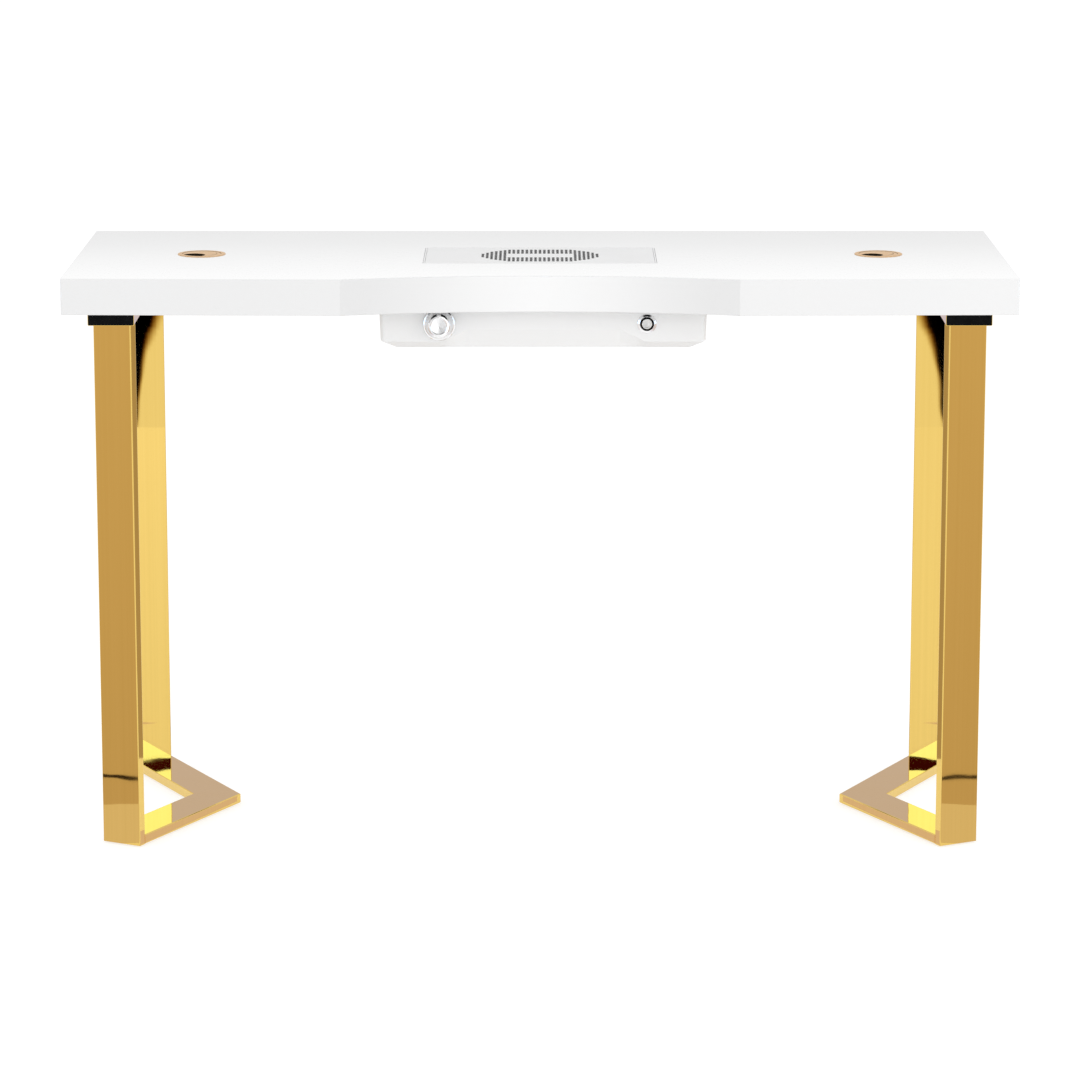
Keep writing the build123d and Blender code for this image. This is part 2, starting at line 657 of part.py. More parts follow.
ZI = ZM + 7.0           # impeller back plate underside
BLADES = 11
with BuildPart() as fan_impeller:
    with BuildSketch(Plane.XY.offset(ZI)):
        with Locations((0, PY)):
            Circle(FAN_D / 2)
            Circle(CAN_D / 2, mode=Mode.SUBTRACT)
    extrude(amount=2.0)
    with BuildSketch(Plane.XY.offset(ZI)):
        with Locations((0, PY)):
            Circle(CAN_D / 2 + 2.0)
            Circle(CAN_D / 2, mode=Mode.SUBTRACT)
    extrude(amount=14.0)
    with BuildSketch(Plane.XY.offset(ZI + 1.0)):
        with Locations((0, PY)):
            with PolarLocations(0, BLADES):
                with BuildLine():
                    ThreePointArc((32.0, 0.0), (50.0, -9.5), (62.5, -29.5))
                trace(line_width=1.8)
    extrude(amount=678.0 - ZI - 0.5)
    with BuildSketch(Plane.XY.offset(678.0)):
        with Locations((0, PY)):
            Circle(FAN_D / 2)
            Circle(46.2, mode=Mode.SUBTRACT)
    extrude(amount=2.0)
save(fan_impeller, "fan_impeller")

# ---------------------------------------------------------------- speed control
def front_plane(y):
    # sketch plane facing the client, x to the right, y up, at depth y
    return Plane(origin=(0, y, 0), x_dir=(1, 0, 0), z_dir=(0, -1, 0))


with BuildPart() as potentiometer:
    with BuildSketch(front_plane(HS_Y0 + 12.0)):
        with Locations((KNOB_X, KNOB_Z)):
            Circle(8.5)
    extrude(amount=9.5)
    with BuildSketch(front_plane(HS_Y0 + 2.5)):
        with Locations((KNOB_X, KNOB_Z)):
            Circle(3.5)
    extrude(amount=8.0)
    with BuildSketch(front_plane(HS_Y0 + 11.0)):
        with Locations((KNOB_X, KNOB_Z - 10.0)):
            Rectangle(13.0, 6.0)
    extrude(amount=1.2)
    with BuildSketch(front_plane(HS_Y0 + 7.0)):
        with Locations((KNOB_X, KNOB_Z)):
            Circle(3.05)
    extrude(amount=20.0, mode=Mode.SUBTRACT)
save(potentiometer, "potentiometer")

with BuildPart() as potentiometer_nut:
    with BuildSketch(front_plane(HS_Y0)):
        with Locations((KNOB_X, KNOB_Z)):
            RegularPolygon(5.0, 6, major_radius=False)
            Circle(3.5, mode=Mode.SUBTRACT)
    extrude(amount=2.0)
save(potentiometer_nut, "potentiometer_nut")

with BuildPart() as knob_shaft:
    with BuildSketch(front_plane(HS_Y0 + 6.5)):
        with Locations((KNOB_X, KNOB_Z)):
            Circle(3.0)
    extrude(amount=23.5)
save(knob_shaft, "knob_shaft")

KY = HS_Y0 - 1.0        # back of the knob's skirt
with BuildPart() as speed_knob:
    with BuildSketch(Plane(origin=(KNOB_X, KY, KNOB_Z), x_dir=(1, 0, 0), z_dir=(0, 0, 1))):
        with BuildLine():
            Polyline(
                (0, 0), (20.1, 0), (20.6, -0.6), (20.6, -2.6), (19.9, -3.4), (18.6, -3.9),
                (15.0, -15.5), (14.2, -17.4), (12.8, -18.4), (10.8, -18.6), (9.8, -18.0), (0, -17.2), (0, 0),
            )
        make_face()
    revolve(axis=Axis((KNOB_X, KY, KNOB_Z), (0, 1, 0)))
    with BuildSketch(front_plane(KY)):
        with Locations((KNOB_X, KNOB_Z)):
            Circle(8.0)
    extrude(amount=5.0, mode=Mode.SUBTRACT)
    with BuildSketch(front_plane(KY)):
        with Locations((KNOB_X, KNOB_Z)):
            Circle(3.0)
    extrude(amount=16.0, mode=Mode.SUBTRACT)
    with BuildSketch(Plane.XY.offset(KNOB_Z - 1.0)):
        with Locations((KNOB_X, KY - 9.0)):
            Circle(1.5)
    extrude(amount=-25.0, mode=Mode.SUBTRACT)
save(speed_knob, "speed_knob")

with BuildPart() as knob_set_screw:
    with BuildSketch(Plane.XY.offset(KNOB_Z - 3.1)):
        with Locations((KNOB_X, KY - 9.0)):
            Circle(1.5)
            RegularPolygon(0.75, 6, mode=Mode.SUBTRACT)
    extrude(amount=-6.0)
save(knob_set_screw, "knob_set_screw")

# ---------------------------------------------------------------- push button
with BuildPart() as button_bezel:
    with BuildSketch(Plane(origin=(BTN_X, HS_Y0, BTN_Z), x_dir=(1, 0, 0), z_dir=(0, 0, 1))):
        with BuildLine():
            Polyline((0, 0), (12.4, 0), (12.4, -0.5), (11.9, -1.0), (9.3, -2.4), (0, -2.4), (0, 0))
        make_face()
    revolve(axis=Axis((BTN_X, 0, BTN_Z), (0, 1, 0)))
    with BuildSketch(front_plane(HS_Y0)):
        with Locations((BTN_X, BTN_Z)):
            Circle(9.5)
    extrude(amount=-24.0)
    with BuildSketch(front_plane(HS_Y0 - 2.4)):
        with Locations((BTN_X, BTN_Z)):
            Circle(9.0)
    extrude(amount=-2.2, mode=Mode.SUBTRACT)
    with BuildSketch(front_plane(HS_Y0 - 2.4)):
        with Locations((BTN_X, BTN_Z)):
            Circle(7.6)
    extrude(amount=-30.0, mode=Mode.SUBTRACT)
save(button_bezel, "button_bezel")

with BuildPart() as button_ring:
    with BuildSketch(front_plane(HS_Y0 - 0.2)):
        with Locations((BTN_X, BTN_Z)):
            Circle(9.0)
            Circle(6.9, mode=Mode.SUBTRACT)
    extrude(amount=2.4)
save(button_ring, "button_ring")

with BuildPart() as button_cap:
    with BuildSketch(Plane(origin=(BTN_X, HS_Y0 - 3.2, BTN_Z), x_dir=(1, 0, 0), z_dir=(0, 0, 1))):
        with BuildLine():
            Polyline(
                (0, 0.7), (4.2, 0.5), (4.6, 0.1), (5.2, 0.0), (6.1, 0.0), (6.5, 0.4), (6.5, 9.0), (0, 9.0), (0, 0.7),
            )
        make_face()
    revolve(axis=Axis((BTN_X, 0, BTN_Z), (0, 1, 0)))
    with BuildSketch(front_plane(HS_Y0 - 3.2 + 9.0)):
        with Locations((BTN_X, BTN_Z)):
            Circle(5.4)
    extrude(amount=5.5, mode=Mode.SUBTRACT)
save(button_cap, "button_cap")

SWY = HS_Y0 + 14.0      # front of the switch body inside the barrel
with BuildPart() as switch_body:
    with BuildSketch(front_plane(SWY + 22.0)):
        with Locations((BTN_X, BTN_Z)):
            Circle(7.6)
    extrude(amount=22.0)
    with BuildSketch(front_plane(SWY + 22.0)):
        with Locations((BTN_X, BTN_Z)):
            with GridLocations(6.0, 6.0, 2, 2):
                Rectangle(2.0, 0.6)
    extrude(amount=-5.0)
save(switch_body, "switch_body")

SPR_Y0 = HS_Y0 - 3.2 + 9.0 - 5.5    # front end of the return spring
SPR_L = SWY - SPR_Y0
with BuildPart() as button_spring:
    with BuildLine():
        coil = Helix(
            pitch=(SPR_L - 1.0) / 5.0, height=SPR_L - 1.0, radius=3.6,
            center=(BTN_X, SPR_Y0 + 0.5, BTN_Z), direction=(0, 1, 0),
        )
    with BuildSketch(Plane(origin=coil @ 0, z_dir=coil % 0)):
        Circle(0.4)
    sweep(path=coil, is_frenet=True)
save(button_spring, "button_spring")

with BuildPart() as button_nut:
    with BuildSketch(front_plane(HS_Y0 + 5.5)):
        with Locations((BTN_X, BTN_Z)):
            RegularPolygon(11.5, 6, major_radius=False)
            Circle(9.5, mode=Mode.SUBTRACT)
    extrude(amount=3.0)
save(button_nut, "button_nut")

# ---------------------------------------------------------------- power inlet
with BuildPart() as power_socket:
    with BuildSketch(front_plane(HS_Y1 + 2.0)):
        with Locations((SOCK_X, SOCK_Z)):
            Circle(7.0)
    extrude(amount=2.0)
    with BuildSketch(front_plane(HS_Y1)):
        with Locations((SOCK_X, SOCK_Z)):
            Circle(5.5)
    extrude(amount=16.0)
    with BuildSketch(front_plane(HS_Y1 + 2.0)):
        with Locations((SOCK_X, SOCK_Z)):
            Circle(2.8)
            Circle(1.05, mode=Mode.SUBTRACT)
    extrude(amount=10.0, mode=Mode.SUBTRACT)
save(power_socket, "power_socket")

with BuildPart() as socket_nut:
    with BuildSketch(front_plane(HS_Y1 - 2.5)):
        with Locations((SOCK_X, SOCK_Z)):
            RegularPolygon(7.0, 6, major_radius=False)
            Circle(5.5, mode=Mode.SUBTRACT)
    extrude(amount=2.0)
save(socket_nut, "socket_nut")

# ---------------------------------------------------------------- control board
ZB = Z_FLOOR + 10.0
with BuildPart() as board_standoffs:
    with BuildSketch(Plane.XY.offset(Z_FLOOR)):
        with Locations(*board_pts):
            RegularPolygon(3.0, 6)
            Circle(1.3, mode=Mode.SUBTRACT)
    extrude(amount=10.0)
save(board_standoffs, "board_standoffs")

with BuildPart() as control_board:
    with BuildSketch(Plane.XY.offset(ZB)):
        with Locations((-134.5, 92.0)):
            RectangleRounded(85.0, 40.0, 2.0)
        with Locations(*board_pts):
            Circle(1.6, mode=Mode.SUBTRACT)
    extrude(amount=1.6)
save(control_board, "control_board")

with BuildPart() as board_screws:
    with BuildSketch(Plane.XY.offset(ZB + 1.6)):
        with Locations(*board_pts):
            Circle(2.6)
    extrude(amount=1.8)
    with BuildSketch(Plane.XY.offset(ZB + 1.6)):
        with Locations(*board_pts):
            Circle(1.3)
    extrude(amount=-6.0)
save(board_screws, "board_screws")

ZC = ZB + 1.6
conn_x = (-162.0, -136.0, -124.0, -112.0)
with BuildPart() as board_parts:
    with BuildSketch(Plane.XY.offset(ZC)):
        with Locations(*[(x, 76.0) for x in conn_x]):
            Rectangle(8.0, 6.0)
    extrude(amount=6.0)
    with BuildSketch(Plane.XY.offset(ZC)):
        with Locations((-160.0, 98.0), (-146.0, 98.0)):
            Circle(5.0)
    extrude(amount=9.5)
    with BuildSketch(Plane.XY.offset(ZC)):
        with Locations((-126.0, 96.0)):
            Rectangle(10.0, 10.0)
        with Locations((-108.0, 98.0)):
            Rectangle(12.0, 3.0)
    extrude(amount=3.0)
save(board_parts, "board_parts")

# ---------------------------------------------------------------- internal leads
ZW = ZC + 3.0           # height of the leads at the connectors
lead_routes = (
    ("switch_lead", (
        (BTN_X, SWY + 27.0, BTN_Z), (BTN_X, SWY + 35.0, BTN_Z), (96.0, -100.0, 650.0), (10.0, -108.0, 646.0),
        (-70.0, -92.0, 646.0), (-106.0, -30.0, 646.0), (-121.0, 38.0, 650.0), (-124.0, 60.0, ZW), (-124.0, 73.0, ZW))),
    ("speed_lead", (
        (KNOB_X, HS_Y0 + 11.0, KNOB_Z - 11.0), (KNOB_X, HS_Y0 + 21.0, KNOB_Z - 11.0), (-131.0, -96.0, 652.0),
        (-136.0, -30.0, 648.0), (-134.0, 34.0, 650.0), (-136.0, 58.0, ZW), (-136.0, 73.0, ZW))),
    ("motor_lead", (
        (-31.0, PY, ZM + 1.0), (-46.0, PY, ZM + 1.0), (-88.0, 8.0, 645.5), (-110.0, 38.0, 648.0),
        (-112.0, 58.0, ZW), (-112.0, 73.0, ZW))),
    ("power_lead", (
        (SOCK_X, HS_Y1 - 16.0, SOCK_Z), (SOCK_X, HS_Y1 - 28.0, SOCK_Z), (-186.0, 76.0, 662.0), (-178.0, 52.0, 656.0),
        (-162.0, 56.0, ZW), (-162.0, 73.0, ZW))),
)
for name, pts in lead_routes:
    vs = [Vector(*p) for p in pts]
    radii = []
    for p, q, r in zip(vs, vs[1:], vs[2:]):
        turn = math.radians((q - p).get_angle(r - q))
        radii.append(0.42 * min((q - p).length, (r - q).length) / math.tan(max(turn, 0.02) / 2))
    with BuildPart() as lead:
        with BuildLine():
            route = FilletPolyline(*pts, radius=radii)
        with BuildSketch(Plane(origin=route @ 0, z_dir=route % 0)):
            Circle(1.4)
        sweep(path=route)
    save(lead, name)
    print(name, "radii", [round(r, 1) for r in radii], "volume", round(lead.part.volume), "of", round(math.pi * 1.96 * route.length))
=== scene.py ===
import json
import math
import bpy
import bmesh
from mathutils import Vector, Matrix


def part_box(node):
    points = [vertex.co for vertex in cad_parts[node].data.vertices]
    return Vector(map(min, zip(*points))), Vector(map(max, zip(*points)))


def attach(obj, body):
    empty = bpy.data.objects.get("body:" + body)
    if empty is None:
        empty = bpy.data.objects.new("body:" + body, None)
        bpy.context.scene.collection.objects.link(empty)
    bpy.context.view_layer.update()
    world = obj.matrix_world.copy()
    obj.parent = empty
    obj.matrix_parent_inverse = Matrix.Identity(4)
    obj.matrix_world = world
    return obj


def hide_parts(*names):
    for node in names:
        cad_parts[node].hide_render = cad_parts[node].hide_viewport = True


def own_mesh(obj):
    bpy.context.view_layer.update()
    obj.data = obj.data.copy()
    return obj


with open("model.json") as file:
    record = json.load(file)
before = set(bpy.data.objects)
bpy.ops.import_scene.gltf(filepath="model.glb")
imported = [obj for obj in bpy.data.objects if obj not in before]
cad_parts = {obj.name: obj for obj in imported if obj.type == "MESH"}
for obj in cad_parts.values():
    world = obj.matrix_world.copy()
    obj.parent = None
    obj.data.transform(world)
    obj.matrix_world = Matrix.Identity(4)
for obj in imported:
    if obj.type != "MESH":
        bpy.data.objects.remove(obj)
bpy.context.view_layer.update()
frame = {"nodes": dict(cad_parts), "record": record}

nodes = frame["nodes"]
record = frame["record"]

# ------------------------------------------------------------------ camera
scene = bpy.context.scene
cam_data = bpy.data.cameras.new("camera")
cam = bpy.data.objects.new("camera", cam_data)
scene.collection.objects.link(cam)
cam_data.sensor_width = 36.0
cam_data.lens = 145.7
cam.location = (0.0, -5.644, 1.510)
cam.rotation_euler = (math.radians(90.0 - 11.51), 0.0, 0.0)
cam_data.clip_start, cam_data.clip_end = 0.05, 200.0
scene.camera = cam
scene.view_settings.view_transform = "Standard"
scene.view_settings.look = "None"


# levels of the studio
WORLD_DIFFUSE = 1.0
WORLD_GLOSS = 0.95
TOP_GAIN = 1.5
GLOW = 2.2

# ------------------------------------------------------------------ node helpers
class Mat:
    """A small wrapper that builds one procedural material."""

    def __init__(self, name, color, rough, metal=0.0, spec=None, coat=0.0, coat_rough=0.05, ior=None):
        self.m = bpy.data.materials.new(name)
        self.m.use_nodes = True
        self.t = self.m.node_tree
        self.b = next(n for n in self.t.nodes if n.type == "BSDF_PRINCIPLED")
        self.b.inputs["Base Color"].default_value = (*color, 1.0)
        self.b.inputs["Roughness"].default_value = rough
        self.b.inputs["Metallic"].default_value = metal
        if spec is not None:
            self.b.inputs["Specular IOR Level"].default_value = spec
        if ior is not None:
            self.b.inputs["IOR"].default_value = ior
        if coat:
            self.b.inputs["Coat Weight"].default_value = coat
            self.b.inputs["Coat Roughness"].default_value = coat_rough
        self.m.diffuse_color = (*color, 1.0)

    def node(self, kind, **values):
        n = self.t.nodes.new(kind)
        for k, v in values.items():
            if k in n.inputs.keys():
                n.inputs[k].default_value = v
            else:
                setattr(n, k, v)
        return n

    def link(self, a, b):
        self.t.links.new(a, b)

    def coords(self, scale=(1, 1, 1), offset=(0, 0, 0)):
        tc = self.node("ShaderNodeTexCoord")
        mp = self.node("ShaderNodeMapping")
        mp.inputs["Scale"].default_value = scale
        mp.inputs["Location"].default_value = offset
        self.link(tc.outputs["Object"], mp.inputs["Vector"])
        return mp.outputs["Vector"]

    def noise(self, vec, scale, detail=3.0, rough=0.5, distortion=0.0):
        n = self.node("ShaderNodeTexNoise")
        n.inputs["Scale"].default_value = scale
        n.inputs["Detail"].default_value = detail
        n.inputs["Roughness"].default_value = rough
        n.inputs["Distortion"].default_value = distortion
        self.link(vec, n.inputs["Vector"])
        return n.outputs["Fac"]

    def ramp(self, fac, stops):
        r = self.node("ShaderNodeValToRGB")
        e = r.color_ramp.elements
        e[0].position, e[0].color = stops[0][0], (*stops[0][1], 1)
        e[1].position, e[1].color = stops[1][0], (*stops[1][1], 1)
        for p, c in stops[2:]:
            x = e.new(p)
            x.color = (*c, 1)
        self.link(fac, r.inputs["Fac"])
        return r.outputs["Color"]

    def range(self, fac, lo, hi, out_lo, out_hi):
        n = self.node("ShaderNodeMapRange")
        n.inputs["From Min"].default_value = lo
        n.inputs["From Max"].default_value = hi
        n.inputs["To Min"].default_value = out_lo
        n.inputs["To Max"].default_value = out_hi
        self.link(fac, n.inputs["Value"])
        return n.outputs["Result"]

    def color(self, socket):
        self.link(socket, self.b.inputs["Base Color"])

    def rough(self, socket):
        self.link(socket, self.b.inputs["Roughness"])

    def bump(self, height, strength, distance, normal=None):
        n = self.node("ShaderNodeBump")
        n.inputs["Strength"].default_value = strength
        n.inputs["Distance"].default_value = distance
        self.link(height, n.inputs["Height"])
        if normal is not None:
            self.link(normal, n.inputs["Normal"])
        return n.outputs["Normal"]

    def normal(self, socket, coat=False):
        self.link(socket, self.b.inputs["Normal"])
        if coat:
            self.link(socket, self.b.inputs["Coat Normal"])

    def math(self, op, a, b=None):
        n = self.node("ShaderNodeMath")
        n.operation = op
        for i, v in enumerate((a, b)):
            if v is None:
                continue
            if isinstance(v, (int, float)):
                n.inputs[i].default_value = v
            else:
                self.link(v, n.inputs[i])
        return n.outputs[0]

    def radius(self, centre, axis):
        # distance from a line through centre along the given axis, in metres
        tc = self.node("ShaderNodeTexCoord")
        sub = self.node("ShaderNodeVectorMath")
        sub.operation = "SUBTRACT"
        sub.inputs[1].default_value = centre
        self.link(tc.outputs["Object"], sub.inputs[0])
        mul = self.node("ShaderNodeVectorMath")
        mul.operation = "MULTIPLY"
        mul.inputs[1].default_value = [0.0 if i == axis else 1.0 for i in range(3)]
        self.link(sub.outputs[0], mul.inputs[0])
        ln = self.node("ShaderNodeVectorMath")
        ln.operation = "LENGTH"
        self.link(mul.outputs[0], ln.inputs[0])
        return ln.outputs["Value"]


# ------------------------------------------------------------------ materials
MATS = {}


def lacquer(name, base, rough, peel=0.02, coat=0.35):
    k = Mat(name, base, rough, coat=coat, coat_rough=0.03, ior=1.5)
    v = k.coords()
    broad = k.noise(v, 3.0, 2.0)
    fine = k.noise(v, 420.0, 2.0)
    lo = tuple(c * 0.985 for c in base)
    k.color(k.ramp(broad, [(0.3, lo), (0.7, base)]))
    k.rough(k.range(k.noise(v, 14.0, 4.0), 0.3, 0.7, rough * 0.9, rough * 1.15))
    k.normal(k.bump(fine, peel, 0.0004), coat=False)
    return k.m


MATS["white_lacquer"] = lacquer("white_lacquer", (0.79, 0.79, 0.792), 0.14, 0.03, 1.0)
MATS["panel_white"] = lacquer("panel_white", (0.74, 0.74, 0.742), 0.32, 0.10, 0.0)
MATS["housing_white"] = lacquer("housing_white", (0.89, 0.89, 0.89), 0.30, 0.10, 0.1)


def gold():
    k = Mat("gold_mirror", (0.80, 0.56, 0.153), 0.04, metal=1.0)
    v = k.coords()
    streak = k.noise(k.coords(scale=(260, 260, 1.2)), 1.0, 3.0)
    smear = k.noise(v, 9.0, 5.0, 0.6)
    k.color(k.ramp(streak, [(0.25, (0.785, 0.545, 0.146)), (0.75, (0.815, 0.572, 0.160))]))
    k.rough(k.range(smear, 0.35, 0.75, 0.02, 0.06))
    wave = k.noise(v, 16.0, 1.0)
    n1 = k.bump(wave, 0.07, 0.004)
    n2 = k.bump(streak, 0.012, 0.0004, n1)
    k.normal(n2)
    return k.m


MATS["gold_mirror"] = gold()


def grommet_gold():
    k = Mat("grommet_gold", (0.66, 0.42, 0.21), 0.42, metal=0.25, spec=0.2)
    v = k.coords()
    k.color(k.ramp(k.noise(v, 900.0, 2.0), [(0.3, (0.62, 0.39, 0.19)), (0.7, (0.70, 0.45, 0.23))]))
    k.normal(k.bump(k.noise(v, 2200.0, 2.0), 0.06, 0.0002))
    return k.m


MATS["grommet_gold"] = grommet_gold()


def moulded(name, base, rough, grain=1600.0, strength=0.12, metal=0.0, spec=None):
    k = Mat(name, base, rough, metal=metal, spec=spec)
    v = k.coords()
    f = k.noise(v, grain, 3.0)
    hi = tuple(min(1.0, c * 1.18 + 0.004) for c in base)
    k.color(k.ramp(k.noise(v, 60.0, 3.0), [(0.3, base), (0.75, hi)]))
    k.rough(k.range(f, 0.3, 0.7, rough * 0.85, min(1.0, rough * 1.2)))
    k.normal(k.bump(f, strength, 0.0002))
    return k.m


MATS["black_plastic"] = moulded("black_plastic", (0.002, 0.002, 0.002), 0.6, spec=0.05)
MATS["fan_black"] = moulded("fan_black", (0.02, 0.02, 0.021), 0.45)
MATS["filter_card"] = moulded("filter_card", (0.10, 0.10, 0.10), 0.7)
MATS["seal_foam"] = moulded("seal_foam", (0.03, 0.03, 0.03), 0.9, 700.0, 0.5)
MATS["board_green"] = moulded("board_green", (0.02, 0.16, 0.06), 0.35)
MATS["board_black"] = moulded("board_black", (0.05, 0.05, 0.055), 0.4)
MATS["lead_sleeve"] = moulded("lead_sleeve", (0.02, 0.02, 0.02), 0.5)
MATS["button_black"] = moulded("button_black", (0.001, 0.001, 0.001), 0.5, spec=0.03)


def fleece():
    k = Mat("filter_fleece", (0.05, 0.05, 0.052), 0.95)
    v = k.coords()
    f = k.noise(v, 1500.0, 5.0, 0.7, 1.5)
    k.color(k.ramp(f, [(0.3, (0.03, 0.03, 0.032)), (0.7, (0.11, 0.11, 0.115))]))
    k.normal(k.bump(f, 0.6, 0.0006))
    return k.m


MATS["filter_fleece"] = fleece()


def brushed(name, base, rough, axis_scale=(900, 12, 900), strength=0.08):
    k = Mat(name, base, rough, metal=1.0)
    f = k.noise(k.coords(scale=axis_scale), 1.0, 4.0)
    lo = tuple(c * 0.88 for c in base)
    k.color(k.ramp(f, [(0.3, lo), (0.7, base)]))
    k.rough(k.range(f, 0.3, 0.7, rough * 0.8, rough * 1.3))
    k.normal(k.bump(f, strength, 0.0002))
    return k.m


MATS["zinc_steel"] = brushed("zinc_steel", (0.55, 0.57, 0.60), 0.35, (300, 300, 300))
MATS["brass_insert"] = brushed("brass_insert", (0.70, 0.50, 0.22), 0.3, (300, 300, 300))
MATS["bearing_steel"] = brushed("bearing_steel", (0.62, 0.62, 0.64), 0.2, (300, 300, 300))
MATS["rotor_steel"] = brushed("rotor_steel", (0.35, 0.35, 0.37), 0.35, (200, 200, 900))
MATS["stator_copper"] = brushed("stator_copper", (0.55, 0.24, 0.10), 0.4, (900, 900, 200))


def spun(name, base, rough, centre, axis, rings=1400.0, strength=0.15, metal=1.0):
    # turned metal: fine rings round an axis
    k = Mat(name, base, rough, metal=metal)
    r = k.radius(centre, axis)
    tc = k.coords()
    wobble = k.math("MULTIPLY", k.noise(tc, 500.0, 2.0), 0.0006)
    rr = k.math("ADD", r, wobble)
    wave = k.math("SINE", k.math("MULTIPLY", rr, rings * 2 * math.pi))
    comb = k.node("ShaderNodeCombineXYZ")
    k.link(k.math("MULTIPLY", r, 3800.0), comb.inputs[0])
    grain = k.noise(comb.outputs[0], 1.0, 3.0)
    lo = tuple(c * 0.86 for c in base)
    k.color(k.ramp(grain, [(0.3, lo), (0.7, base)]))
    k.rough(k.range(grain, 0.3, 0.7, rough * 0.8, rough * 1.3))
    k.normal(k.bump(k.math("ADD", wave, grain), strength, 0.00005))
    return k.m


KNOB = Vector((-0.128, -0.1475, 0.6706))
BTN = Vector((0.136, -0.1489, 0.671))
MATS["chrome_bright"] = spun("chrome_bright", (0.93, 0.93, 0.935), 0.16, KNOB, 1)
MATS["button_steel"] = spun("button_steel", (0.72, 0.72, 0.71), 0.30, BTN, 1)

slot_of = {s["node"]: s["material_slot"] for s in record["subparts"]}
for name, ob in nodes.items():
    mat = MATS[slot_of[name]]
    ob.data.materials.clear()
    ob.data.materials.append(mat)

# painted shade: the walls of the punched holes get a near-black material, where they lie in shade
hole = moulded("hole_shadow", (0.012, 0.012, 0.013), 0.8, spec=0.05)
plate = nodes["grille_plate"]
plate.data.materials.append(hole)
plo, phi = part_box("grille_plate")
for p in plate.data.polygons:
    if abs(p.normal.z) < 0.5:
        c = p.center
        if min(c.x - plo[0], phi[0] - c.x, c.y - plo[1], phi[1] - c.y) > 0.002:
            p.material_index = 1
# painted shade, likewise, on the inside of the cable ports: slot walls and bore get a near-black brown material
port = moulded("port_shadow", (0.020, 0.014, 0.008), 0.7, spec=0.05)
for side in ("left", "right"):
    slo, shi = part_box(side + "_grommet_sleeve")
    mid = (slo + shi) / 2
    for part in ("_grommet_sleeve", "_grommet_cap"):
        ob = nodes[side + part]
        ob.data.materials.append(port)
        for p in ob.data.polygons:
            c = p.center
            r = math.hypot(c.x - mid.x, c.y - mid.y)
            if r < 0.0254 and (abs(p.normal.z) < 0.5 or c.z < shi.z - 0.002):
                p.material_index = 1

# ------------------------------------------------------------------ return spring
def wound(name, lo, hi, wire, turns, steps=40, sides=12):
    """A coil of round wire wound about the y axis inside the box lo, hi."""
    bm = bmesh.new()
    cx, cz = (lo.x + hi.x) / 2, (lo.z + hi.z) / 2
    r = (hi.x - lo.x) / 2 - wire
    y0, y1 = lo.y + wire * 1.02, hi.y - wire * 1.02
    rise = (y1 - y0) / (turns * 2 * math.pi)
    rings = []
    total = int(turns * steps)
    for i in range(total + 1):
        a = turns * 2 * math.pi * i / total
        out = Vector((math.cos(a), 0.0, math.sin(a)))
        centre = Vector((cx, y0 + rise * a, cz)) + out * r
        along = Vector((-math.sin(a) * r, rise, math.cos(a) * r)).normalized()
        side = along.cross(out)
        rings.append([
            bm.verts.new(centre + (out * math.cos(b) + side * math.sin(b)) * wire)
            for b in (2 * math.pi * j / sides for j in range(sides))
        ])
    for a, b in zip(rings, rings[1:]):
        for j in range(sides):
            k = (j + 1) % sides
            bm.faces.new((a[j], a[k], b[k], b[j])).smooth = True
    bm.faces.new(rings[0][::-1])
    bm.faces.new(rings[-1])
    bmesh.ops.recalc_face_normals(bm, faces=bm.faces)
    me = bpy.data.meshes.new(name)
    bm.to_mesh(me)
    bm.free()
    ob = bpy.data.objects.new(name, me)
    scene.collection.objects.link(ob)
    return ob


# the return spring: a wound coil in the box of the CAD spring, carried with the table in place of the CAD part
slo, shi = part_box("button_spring")
spring = wound("return_spring", slo, shi, 0.0004, 5.0)
spring.data.materials.append(MATS["bearing_steel"])
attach(spring, "table")
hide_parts("button_spring")
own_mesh(spring)

# ------------------------------------------------------------------ stage
def new_mesh(name, verts, faces):
    me = bpy.data.meshes.new(name)
    me.from_pydata(verts, [], faces)
    me.update()
    ob = bpy.data.objects.new(name, me)
    scene.collection.objects.link(ob)
    return ob


S = 60.0
floor = new_mesh("floor", [(-S, -S, 0), (S, -S, 0), (S, S, 0), (-S, S, 0)], [(0, 1, 2, 3)])
fm = bpy.data.materials.new("floor_paper")
fm.use_nodes = True
ft = fm.node_tree
fb = next(n for n in ft.nodes if n.type == "BSDF_PRINCIPLED")
fb.inputs["Base Color"].default_value = (0.84, 0.84, 0.84, 1)
fb.inputs["Roughness"].default_value = 0.9
fb.inputs["Specular IOR Level"].default_value = 0.1
fb.inputs["Emission Strength"].default_value = 0.0
# to the eye and in mirrors the paper is blown out, to matt surfaces it is plain white paper
flp = ft.nodes.new("ShaderNodeLightPath")
soft = ft.nodes.new("ShaderNodeBsdfDiffuse")
soft.inputs["Color"].default_value = (0.42, 0.42, 0.42, 1)
glow = ft.nodes.new("ShaderNodeEmission")
glow.inputs["Color"].default_value = (1.0, 1.0, 1.0, 1)
glow.inputs["Strength"].default_value = 0.66
both = ft.nodes.new("ShaderNodeAddShader")
ft.links.new(soft.outputs[0], both.inputs[0])
ft.links.new(glow.outputs[0], both.inputs[1])
seen = ft.nodes.new("ShaderNodeMixShader")
ft.links.new(flp.outputs["Is Diffuse Ray"], seen.inputs[0])
ft.links.new(both.outputs[0], seen.inputs[1])
ft.links.new(fb.outputs[0], seen.inputs[2])
geo = ft.nodes.new("ShaderNodeNewGeometry")
mix = ft.nodes.new("ShaderNodeMixShader")
clear = ft.nodes.new("ShaderNodeBsdfTransparent")
out = next(n for n in ft.nodes if n.type == "OUTPUT_MATERIAL")
ft.links.new(geo.outputs["Backfacing"], mix.inputs[0])
ft.links.new(seen.outputs[0], mix.inputs[1])
